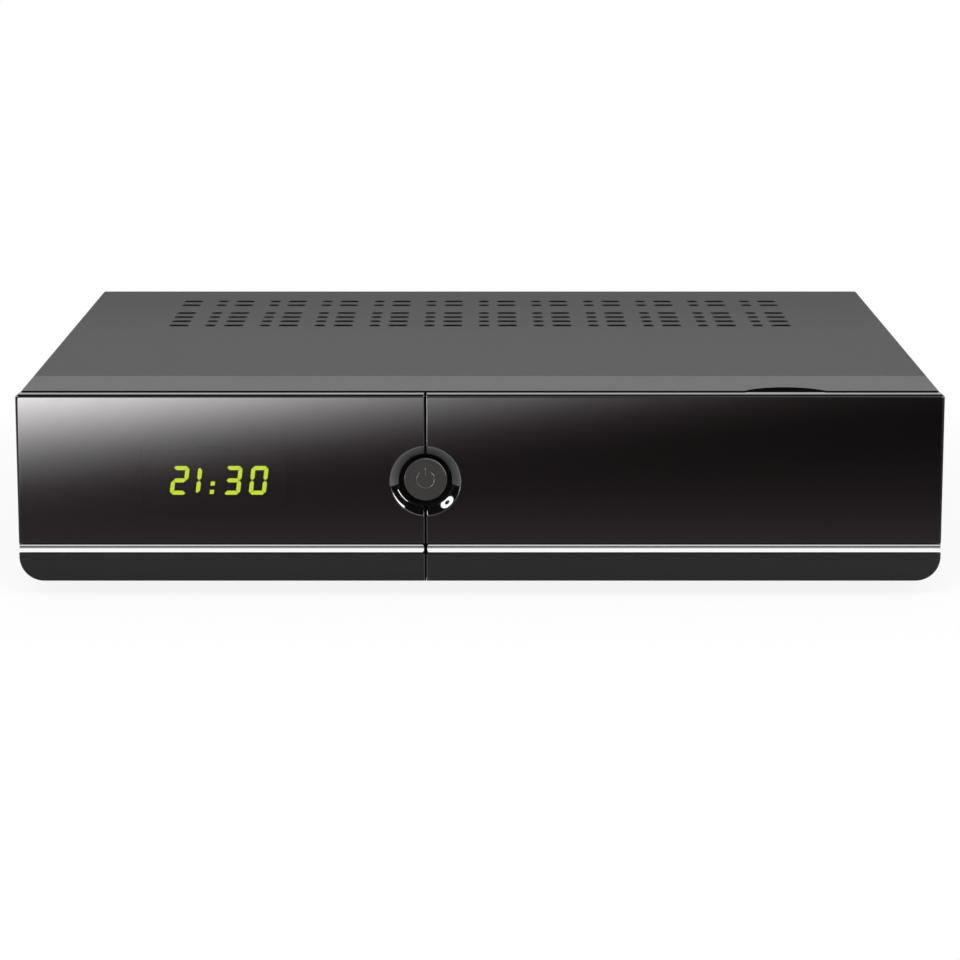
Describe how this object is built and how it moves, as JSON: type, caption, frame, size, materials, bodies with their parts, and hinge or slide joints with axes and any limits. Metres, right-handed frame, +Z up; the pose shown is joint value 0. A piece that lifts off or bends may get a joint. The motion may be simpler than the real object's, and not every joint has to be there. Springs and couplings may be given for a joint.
{
  "type": "satellite television receiver",
  "caption": "Low set-top box with a gloss black front, display window, round power button in a dish, full-height front flap, vented cover and rear sockets.",
  "frame": {"origin": "under the middle of the box, on the plane that its feet stand on", "axes": "+Z up, front faces -Y, +X to the right of someone who looks at the front"},
  "size_m": [0.28, 0.242, 0.0628],
  "materials": {
    "gloss_black": "gloss black moulding",
    "smoked_window": "clear smoked lens, gloss",
    "bright_chrome": "bright chrome plating",
    "satin_black": "satin black moulding",
    "smooth_grey": "smooth satin dark grey moulding",
    "moulded_black": "fine moulded black",
    "button_grey": "satin dark grey moulding",
    "key_grey": "satin grey moulding",
    "textured_grey": "fine textured dark grey paint on steel sheet",
    "rear_black": "semi-matt black paint on steel sheet",
    "plated_steel": "zinc-plated steel sheet",
    "screw_steel": "plated steel",
    "black_screw": "blackened steel",
    "foot_rubber": "matt black rubber",
    "magnet_grey": "ferrite, matt",
    "green_board": "green solder mask",
    "display_body": "matt black moulding",
    "lit_segment": "glowing yellow-green diffuser",
    "black_part": "black moulding",
    "capacitor_sleeve": "dark blue sleeve with a bare metal top",
    "heatsink_alloy": "bare extruded alloy",
    "plug_white": "natural white nylon",
    "ribbon_grey": "grey sleeving",
    "nickel": "bright nickel plate",
    "phono_plastic": "black moulding with a coloured ring and a plated barrel",
    "rocker_black": "semi-gloss black moulding"
  },
  "bodies": {
    "case": {"aerial_input_socket": "nickel", "aerial_loop_socket": "nickel", "base_pan": "plated_steel", "board_screws": "screw_steel", "board_standoffs": "plated_steel", "card_reader": "moulded_black", "case_screws": "black_screw", "catch_magnet": "magnet_grey", "display_module": "display_body", "display_segments": "lit_segment", "display_window": "smoked_window", "flap_hinge_pins": "screw_steel", "front_bezel": "smooth_grey", "front_board": "green_board", "front_left_foot": "foot_rubber", "front_right_foot": "foot_rubber", "front_usb_socket": "nickel", "hdmi_socket": "nickel", "left_bright_strip": "bright_chrome", "left_fascia": "gloss_black", "left_lower_trim": "satin_black", "main_board": "green_board", "main_board_capacitors": "capacitor_sleeve", "main_chip": "black_part", "main_chip_heatsink": "heatsink_alloy", "mains_inlet": "black_part", "mains_switch_body": "moulded_black", "network_socket": "nickel", "phono_digital_socket": "phono_plastic", "phono_left_socket": "phono_plastic", "phono_right_socket": "phono_plastic", "phono_video_socket": "phono_plastic", "power_board": "green_board", "power_capacitors": "capacitor_sleeve", "power_harness": "ribbon_grey", "power_heatsink": "heatsink_alloy", "rear_left_foot": "foot_rubber", "rear_panel": "rear_black", "rear_right_foot": "foot_rubber", "ribbon_cable": "ribbon_grey", "scart_socket": "moulded_black", "serial_socket": "black_part", "tact_switches": "black_part", "top_cover": "textured_grey", "transformer": "black_part", "tuner_can": "plated_steel", "wiring_plugs": "plug_white"},
    "flap": {"flap_frame": "moulded_black", "flap_panel": "gloss_black", "flap_bright_strip": "bright_chrome", "flap_lower_trim": "satin_black", "catch_plate": "plated_steel"},
    "power_button": {"power_button": "button_grey"},
    "mains_rocker": {"mains_rocker": "rocker_black"},
    "menu_key": {"menu_key": "key_grey"},
    "ok_key": {"ok_key": "key_grey"},
    "volume_down_key": {"volume_down_key": "key_grey"},
    "volume_up_key": {"volume_up_key": "key_grey"},
    "channel_down_key": {"channel_down_key": "key_grey"},
    "channel_up_key": {"channel_up_key": "key_grey"}
  },
  "joints": [
    {"name": "flap_hinge", "type": "hinge", "parent": "case", "child": "flap", "pos_m": [0, -0.1144, 0.0095], "axis": [1, 0, 0], "range_deg": [0, 90]},
    {"name": "power_button_press", "type": "slide", "parent": "case", "child": "power_button", "axis": [0, 1, 0], "range_m": [0, 0.0006], "stiffness_N_per_m": 600},
    {"name": "mains_rocker_tilt", "type": "hinge", "parent": "case", "child": "mains_rocker", "pos_m": [-0.084, 0.1092, 0.036], "axis": [1, 0, 0], "range_deg": [0, 16]},
    {"name": "menu_key_press", "type": "slide", "parent": "case", "child": "menu_key", "axis": [0, 1, 0], "range_m": [0, 0.0005], "stiffness_N_per_m": 400},
    {"name": "ok_key_press", "type": "slide", "parent": "case", "child": "ok_key", "axis": [0, 1, 0], "range_m": [0, 0.0005], "stiffness_N_per_m": 400},
    {"name": "volume_down_key_press", "type": "slide", "parent": "case", "child": "volume_down_key", "axis": [0, 1, 0], "range_m": [0, 0.0005], "stiffness_N_per_m": 400},
    {"name": "volume_up_key_press", "type": "slide", "parent": "case", "child": "volume_up_key", "axis": [0, 1, 0], "range_m": [0, 0.0005], "stiffness_N_per_m": 400},
    {"name": "channel_down_key_press", "type": "slide", "parent": "case", "child": "channel_down_key", "axis": [0, 1, 0], "range_m": [0, 0.0005], "stiffness_N_per_m": 400},
    {"name": "channel_up_key_press", "type": "slide", "parent": "case", "child": "channel_up_key", "axis": [0, 1, 0], "range_m": [0, 0.0005], "stiffness_N_per_m": 400}
  ]
}
